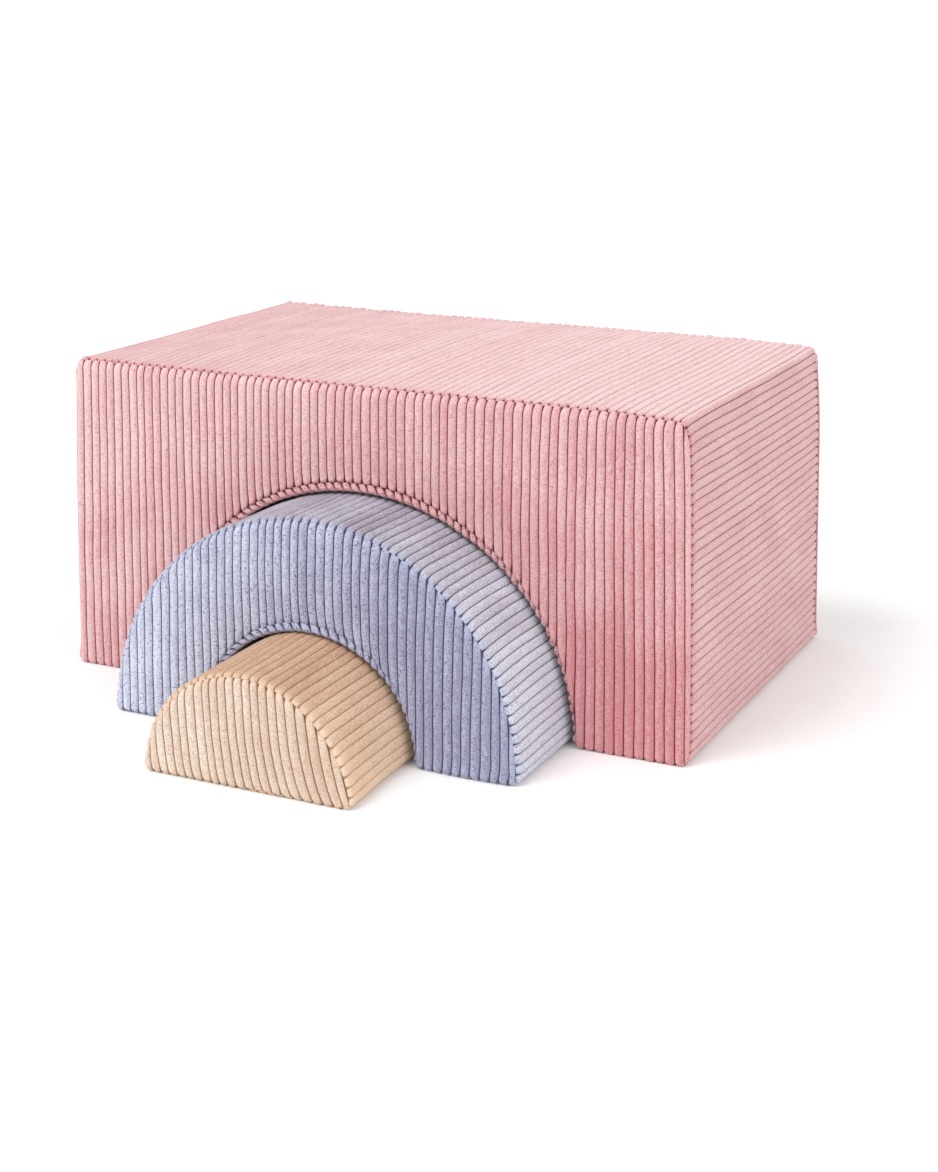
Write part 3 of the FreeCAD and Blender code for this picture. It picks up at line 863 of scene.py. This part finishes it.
def simulated(foam, rest, held):
    """How far a cloth simulation with air pressure moves each point of the foam."""
    last_frame = 20
    group = foam.vertex_groups.new(name="held")
    group.add([int(i) for i in np.flatnonzero(held(*rest.T))], 1.0, "REPLACE")
    cloth = foam.modifiers.new("cloth", "CLOTH")
    settings = cloth.settings
    settings.use_pressure = True
    settings.uniform_pressure_force = 4.0
    settings.effector_weights.gravity = 0.0
    settings.vertex_group_mass = "held"
    settings.quality = 4
    settings.bending_stiffness = 10.0
    scene = bpy.context.scene
    for number in range(1, last_frame + 1):
        scene.frame_set(number)
    end = vertices_of(foam.evaluated_get(bpy.context.evaluated_depsgraph_get()).data)
    scene.frame_set(1)
    foam.modifiers.remove(cloth)
    foam.vertex_groups.remove(group)
    return end - rest


def block_held(x, y, z):
    """The block can't swell at the floor or into its tunnel."""
    return (z < HELD_HEIGHT) | (np.hypot(x, z) < TUNNEL + HELD_DEPTH)


def round_held(outer, inner):
    """The arch and the half-round can't swell at the floor or across the gaps they slide in."""

    def held(x, y, z):
        reach = np.hypot(x, z)
        return (z < HELD_HEIGHT) | (reach > outer - HELD_DEPTH) | (reach < inner)

    return held


def depth_of(owner):
    """Where a piece's front and back are, along Y."""
    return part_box(f"{owner}_front_panel")[0].y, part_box(f"{owner}_back_panel")[1].y


def swell_block():
    front, back = depth_of("block")
    corner = (60 * MM, 60 * MM, 60 * MM)
    pushes = [
        # the top bulges along its left edge
        ((-HALF_WIDTH, 150 * MM, HEIGHT), (120 * MM, 200 * MM, 100 * MM), (0, 0, 4 * MM)),
        # the left side is a little less full, half way up
        ((-HALF_WIDTH, front, 200 * MM), (50 * MM, 200 * MM, 140 * MM), (-2.5 * MM, 0, 0)),
        # the right corners of the top have sunk
        ((HALF_WIDTH, front - 2 * MM, HEIGHT), corner, (-3 * MM, 0, -4 * MM)),
        ((HALF_WIDTH, back - 2 * MM, HEIGHT), corner, (-4 * MM, -2 * MM, -3 * MM)),
    ]
    return swell("block", block_held, 5 * MM, (9 * MM, 9 * MM, TUNNEL, HEIGHT), pushes)


def swell_arch():
    front, _ = depth_of("arch")
    foot, reach = (ARCH_OUTER + ARCH_INNER) / 2 + 1 * MM, (100 * MM, 60 * MM, 120 * MM)
    pushes = [
        # the feet stand forward, the right one more
        ((foot, front, 0), reach, (0, -12 * MM, 0)),
        ((-foot, front, 0), reach, (0, -2 * MM, 0)),
        # the crown is full
        ((0, front, ARCH_OUTER), (200 * MM, 70 * MM, 80 * MM), (0, 0, 1.3 * MM)),
    ]
    held = round_held(ARCH_OUTER, ARCH_INNER + HELD_DEPTH)
    return swell("arch", held, 2.5 * MM, (0, 0, ARCH_INNER, 100 * MM), pushes)


def swell_half_round():
    front, _ = depth_of("half_round")
    pushes = [
        # the right foot stands out at the front
        ((HALF_ROUND, front, 0), (60 * MM, 70 * MM, 60 * MM), (6.5 * MM, 0, 0)),
        # the crown is full
        ((0, -200 * MM, HALF_ROUND), (80 * MM, 120 * MM, 60 * MM), (-1 * MM, 0, 4 * MM)),
    ]
    held = round_held(HALF_ROUND, 0)
    return swell("half_round", held, 2.5 * MM, (-3 * MM, 0, 20 * MM, 90 * MM), pushes)


SWELLINGS = {"block": swell_block(), "arch": swell_arch(), "half_round": swell_half_round()}


# ---- the covers ----


def cover(node, owner, material, points, outward, values, keep):
    """A panel of a cover, in the place of its CAD node, moved as the foam under it swells."""
    flat = points.reshape(-1, 3)
    flat = flat + SWELLINGS[owner].at(flat)
    flat[:, 2] = np.maximum(flat[:, 2], 0)
    name = node.rsplit("_", 1)[0] + "_cover"
    piece = grid_object(name, flat.reshape(points.shape), outward, values, keep)
    dress(piece, node, owner, material)


def shade_to_lower_right(x, z):
    """Painted shade on the rose front: darker towards its lower right corner, away from the light."""
    right, up = x / HALF_WIDTH, z / HEIGHT
    corner = np.maximum(right, 0) * np.maximum(0.5 - up, 0)
    return 0.2 * right + 0.1 * np.minimum(right, 0) - 0.45 * (up - 0.6) + 1.3 * corner - 0.1


def painted_light_on_top(x, z):
    """Painted light and sheen on the rose band, partly the pile's nap: lighter on top, most at the right,
    darker elsewhere.
    """
    return np.where(z > HEIGHT - 2 * MM, -0.3 - 0.4 * x / HALF_WIDTH, 0.3)


def shade_to_the_right(radius, more, start):
    """Painted shade: darker towards the right, away from the light."""
    return lambda x, z: more * x / radius + start


def shade_toward_crown(radius, more, start):
    """Painted shade: darker towards the crown, in the shadow of the tunnel round it."""
    return lambda x, z: more * (z / radius) ** 2 + start


def fan(x, z):
    """The half-round's wales lean, and sweep out to the right near the floor."""
    right = np.clip((x + 40 * MM) / (110 * MM), 0, 1)
    return x - 0.08 * z - 9 * MM * right * (1 - np.exp(-np.maximum(z, 0) / (24 * MM)))


def zip_slot(owner):
    """The opening over a zip: from and to in X, then from and to in Z on the block or in Y under a foot."""
    low, high = zip_reach(owner)
    middle = (low + high) / 2
    if owner == "block":
        return low[0] + SLOT_END, high[0] - SLOT_END, middle[2] - SLOT_HALF, middle[2] + SLOT_HALF
    return middle[0] - SLOT_HALF, middle[0] + SLOT_HALF, low[1] + SLOT_END, high[1] - SLOT_END


def make_feet(shape, material, feet, seed, slot=None):
    """The panels under the feet. The last one has the zip."""
    for number, (side, left, right) in enumerate(feet):
        opening = None
        if slot and number == len(feet) - 1:
            opening = (slot[0] - left, slot[1] - left, *slot[2:])
        node, path = f"{shape.owner}_{side}_panel", floor_path(left, right)
        make_band(node, shape, material, path, seed + 10 * number, opening)


def make_block_covers():
    # painted shade on the front, darker towards its lower right
    make_panel("block_front_panel", BLOCK, ROSE_FRONT, -1, 11, painted_light=shade_to_lower_right)
    make_panel("block_back_panel", BLOCK, ROSE_FRONT, 1, 21, zip_slot("block"))
    # painted light on the band, lighter on top and darker on the sides
    make_band("block_outer_band", BLOCK, ROSE_BAND, block_path(), 31, painted_light=painted_light_on_top)
    make_band("block_tunnel_band", BLOCK, ROSE_EDGE, curved_path(TUNNEL, 1), 41, slant=1.2, lip=LIP)
    near, far = meets_floor(TUNNEL, 1) + UNDER, HALF_WIDTH - FOOT_CORNER - UNDER
    make_feet(BLOCK, ROSE_BAND, [("left_foot", -far, -near), ("right_foot", near, far)], 51)


def make_arch_covers():
    # painted shade on the front and back, darker towards the right
    painted_light = shade_to_the_right(ARCH_OUTER, 0.65, 0.12)
    for side, facing, seed in (("front", -1, 111), ("back", 1, 121)):
        make_panel(f"arch_{side}_panel", ARCH, BLUE_FRONT, facing, seed, painted_light=painted_light, patch=50 * MM)
    # painted shade on the outer band, darker towards the crown
    painted_light = shade_toward_crown(ARCH_OUTER, 1, -0.62)
    make_band("arch_outer_band", ARCH, BLUE_BAND, curved_path(ARCH_OUTER, -1), 131, painted_light=painted_light)
    make_band("arch_inner_band", ARCH, BLUE_EDGE, curved_path(ARCH_INNER, 1), 141, slant=1.0, lip=LIP)
    near, far = meets_floor(ARCH_INNER, 1) + UNDER, meets_floor(ARCH_OUTER, -1) - UNDER
    feet = [("left_foot", -far, -near), ("right_foot", near, far)]
    make_feet(ARCH, BLUE_BAND, feet, 151, zip_slot("arch"))


def make_half_round_covers():
    shape = HALF_ROUND_SHAPE
    # the fronts' wales lean and fan out, with painted shade darker towards the right
    look = {"lean": fan, "painted_light": shade_to_the_right(HALF_ROUND, 0.3, 0.05), "patch": 40 * MM}
    for side, facing, seed in (("front", -1, 211), ("back", 1, 221)):
        make_panel(f"half_round_{side}_panel", shape, SAND_FRONT, facing, seed, **look)
    # painted shade on the curved band, darker towards the crown
    path, painted_light = curved_path(HALF_ROUND, -1), shade_toward_crown(HALF_ROUND, 1.1, -0.45)
    make_band("half_round_curved_band", shape, SAND_BAND, path, 231, painted_light=painted_light, shallow=0.6)
    far = meets_floor(HALF_ROUND, -1) - UNDER
    make_feet(shape, SAND_BAND, [("base", -far, far)], 241, zip_slot("half_round"))


make_block_covers()
make_arch_covers()
make_half_round_covers()


# ---- the zips ----


def loft(name, rings, body, node, material):
    """A closed mesh through rings of points, with flat ends."""
    count, around = rings.shape[:2]
    index = np.arange(count * around).reshape(count, around)
    after = np.roll(index, -1, axis=1)
    quads = np.stack([index[:-1], after[:-1], after[1:], index[1:]], axis=-1).reshape(-1, 4)
    ends = [index[0][::-1].tolist(), index[-1].tolist()]
    mesh = bpy.data.meshes.new(name)
    mesh.from_pydata(rings.reshape(-1, 3).tolist(), [], quads.tolist() + ends)
    mesh.shade_smooth()
    turned = bmesh.new()
    turned.from_mesh(mesh)
    bmesh.ops.recalc_face_normals(turned, faces=turned.faces)
    turned.to_mesh(mesh)
    turned.free()
    dress(placed(name, mesh), node, body, material)


def make_tape(owner, side):
    """A woven tape with a cord along the edge at the coil, shallow ribs and a slight ripple."""
    count, step, rib, ribs_apart = 33, 3 * MM, 0.08 * MM, 2 * MM
    node = f"{owner}_zip_{side}_tape"
    low, high = (np.array(corner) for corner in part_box(node))
    along, across, depth = axes_of(owner)
    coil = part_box(f"{owner}_zip_{side}_coil")
    middle = (coil[0][across] + coil[1][across]) / 2
    places = low[across] + np.linspace(0, 1, count) * (high[across] - low[across])
    places = np.concatenate([places, places[::-1]])
    cord = 0.25 * MM * np.exp(-(((places - middle) / (1.2 * MM)) ** 2))
    half = (high[depth] - low[depth]) / 2 - 0.3 * MM
    thick = half + cord + rib * np.cos(places / ribs_apart * 2 * math.pi)
    upper = np.repeat([1, -1], count)
    lengths = np.arange(low[along], high[along], step)
    rings = np.zeros((len(lengths), len(places), 3))
    rings[..., along] = lengths[:, None]
    rings[..., across] = places
    ripple = 0.15 * MM * waves(901, np.stack(np.broadcast_arrays(lengths[:, None], places), axis=-1), 40 * MM)
    rings[..., depth] = (low[depth] + high[depth]) / 2 + upper * thick + ripple
    loft(f"{owner}_{side}_tape", rings, owner, node, TAPES[owner])


def make_coil(owner, side):
    """A spiral of nylon wire along the edge of a tape, its loops showing in the gap between the tapes."""
    wire, pitch, sides, steps, showing = 0.34 * MM, 1.5 * MM, 6, 10, 0.3 * MM
    node = f"{owner}_zip_{side}_coil"
    low, high = (np.array(corner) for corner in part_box(node))
    along, across, depth = axes_of(owner)
    if low[across] > sum(zip_reach(owner))[across] / 2:
        low[across] -= showing
    else:
        high[across] += showing
    turns = round((high[along] - low[along]) / pitch)
    angle = np.linspace(0, 2 * math.pi * turns, steps * turns + 1)
    path = np.zeros((len(angle), 3))
    path[:, along] = np.linspace(low[along] + wire, high[along] - wire, len(angle))
    for axis, wave in ((across, np.cos(angle)), (depth, np.sin(angle))):
        path[:, axis] = (low[axis] + high[axis]) / 2 + ((high[axis] - low[axis]) / 2 - wire) * wave
    ahead = np.gradient(path, axis=0)
    ahead /= np.linalg.norm(ahead, axis=1, keepdims=True)
    first = np.cross(ahead, np.eye(3)[along])
    first /= np.linalg.norm(first, axis=1, keepdims=True)
    second = np.cross(ahead, first)
    round_it = np.linspace(0, 2 * math.pi, sides, endpoint=False)[:, None]
    rings = path[:, None] + wire * (np.cos(round_it) * first[:, None] + np.sin(round_it) * second[:, None])
    loft(f"{owner}_{side}_coil", rings, owner, node, COIL)


def make_metal(name, node, body):
    """A die-cast piece: the CAD shape with its edges rounded."""
    piece = solid_copy(name, node)
    bevel = piece.modifiers.new("bevel", "BEVEL")
    bevel.width = 0.25 * MM
    bevel.segments = 2
    bevel.limit_method = "ANGLE"
    bevel.angle_limit = math.radians(40)
    applied(piece)
    piece.data.shade_smooth()
    dress(piece, node, body, METAL)


for owner in ("block", "arch", "half_round"):
    for side in ("left", "right"):
        make_tape(owner, side)
        make_coil(owner, side)
    make_metal(f"{owner}_stops", f"{owner}_zip_end_stops", owner)
    make_metal(f"{owner}_slider_body", f"{owner}_zip_slider", f"{owner}_slider")
    make_metal(f"{owner}_pull_tab", f"{owner}_zip_pull_tab", f"{owner}_tab")


# ---- floor, light and camera ----


def make_floor():
    n = Nodes(bpy.data.materials.new("pale_floor"))
    mottled = n.ramp(n.noise(3), (0.3, (0.95, 0.95, 0.95, 1)), (0.7, (0.97, 0.97, 0.97, 1)))
    mesh = bpy.data.meshes.new("floor")
    half = 400.0
    corners = [(-half, -half, 0), (half, -half, 0), (half, half, 0), (-half, half, 0)]
    mesh.from_pydata(corners, [], [(0, 1, 2, 3)])
    mesh.materials.append(n.finish(mottled, 0.9))
    placed("floor", mesh)


def make_sun(name, toward, strength, softness):
    """Soft white light that falls along a direction. softness is in degrees."""
    lamp = bpy.data.lights.new(name, "SUN")
    lamp.energy = strength
    lamp.angle = math.radians(softness)
    placed(name, lamp).rotation_euler = Vector(toward).to_track_quat("-Z", "Y").to_euler()


def make_world():
    """A white studio, a little brighter low down."""
    n = Nodes(bpy.data.worlds.new("studio"), "Background")
    up = n.add("SeparateXYZ", {0: n.add("TexCoord").outputs["Generated"]}).outputs["Z"]
    n.put(n.shader, "Color", (1, 1, 1, 1))
    n.put(n.shader, "Strength", n.range(up, 0.2, 0.5, 1.0, 0.78))
    bpy.context.scene.world = n.owner


def make_camera():
    """The photo's own viewpoint: from the front and right, a little above the block."""
    down, to_the_left = 12.77, 26.47
    data = bpy.data.cameras.new("camera")
    data.lens = 62.12
    data.shift_x = 0.0365
    data.shift_y = -0.12
    data.clip_end = 1000.0
    camera = placed("camera", data)
    camera.location = (1.0186, -1.9970, 0.7888)
    camera.rotation_euler = (math.radians(90 - down), 0, math.radians(to_the_left))
    bpy.context.scene.camera = camera


make_floor()
make_world()
make_sun("key", (0.45, 0.6, -1.1), 1.3, 30)
make_sun("side", (-0.9, 0.3, -0.8), 0.5, 40)
make_camera()
bpy.context.scene.view_settings.view_transform = "Standard"
